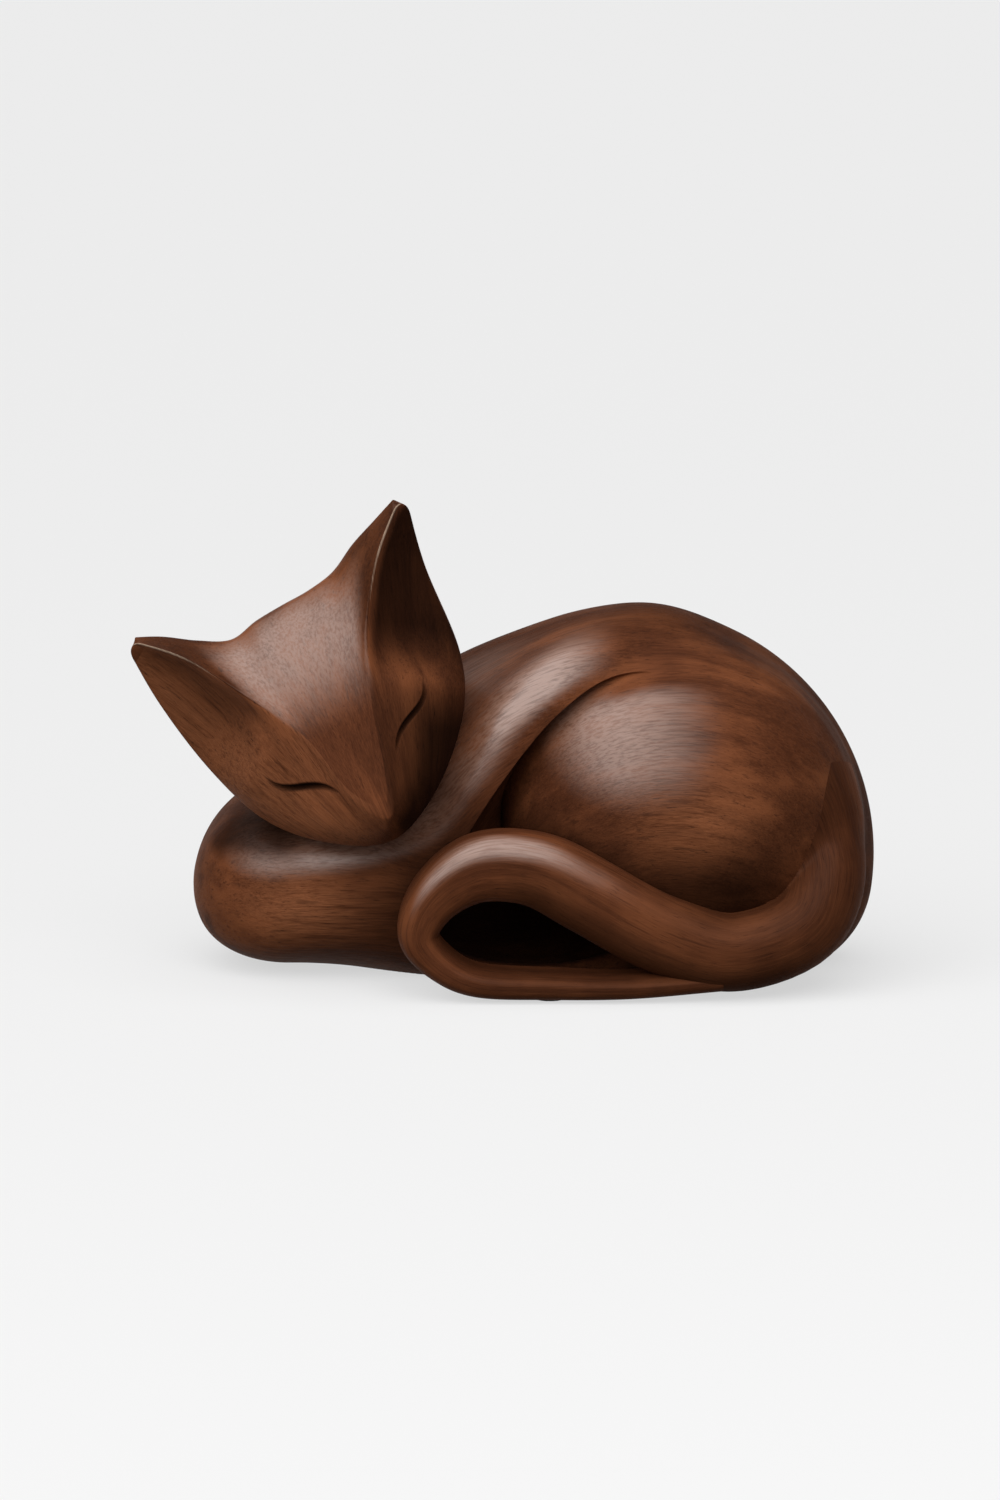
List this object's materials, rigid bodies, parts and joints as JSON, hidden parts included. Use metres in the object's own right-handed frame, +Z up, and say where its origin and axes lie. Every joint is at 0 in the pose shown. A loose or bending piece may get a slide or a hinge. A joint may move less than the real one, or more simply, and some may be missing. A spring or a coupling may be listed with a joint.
{
  "type": "cat figurine",
  "caption": "Sleeping cat figurine in dark carved wood, with a shield-shaped head, closed eyes, a domed haunch and a tail that curls forward into a loop.",
  "frame": {"origin": "on the surface that the figurine stands on, under the middle of its box", "axes": "+X along the cat from the head to the tail end, +Z up, -Y towards the side that shows the face"},
  "size_m": [0.2992, 0.1428, 0.1976],
  "materials": {
    "walnut": "dark walnut, carved and rubbed to a satin oil finish",
    "beech": "plain turned beech dowel",
    "felt": "pressed dark wool felt"
  },
  "bodies": {
    "root": {"body": "walnut", "forelegs": "walnut", "head": "walnut", "tail": "walnut", "head_dowel_left": "beech", "head_dowel_right": "beech", "foreleg_dowel_low": "beech", "foreleg_dowel_high": "beech", "tail_dowel_outer": "beech", "tail_dowel_inner": "beech", "felt_pad_rump": "felt", "felt_pad_shoulder": "felt", "felt_pad_forelegs": "felt", "felt_pad_tail": "felt"}
  },
  "joints": []
}
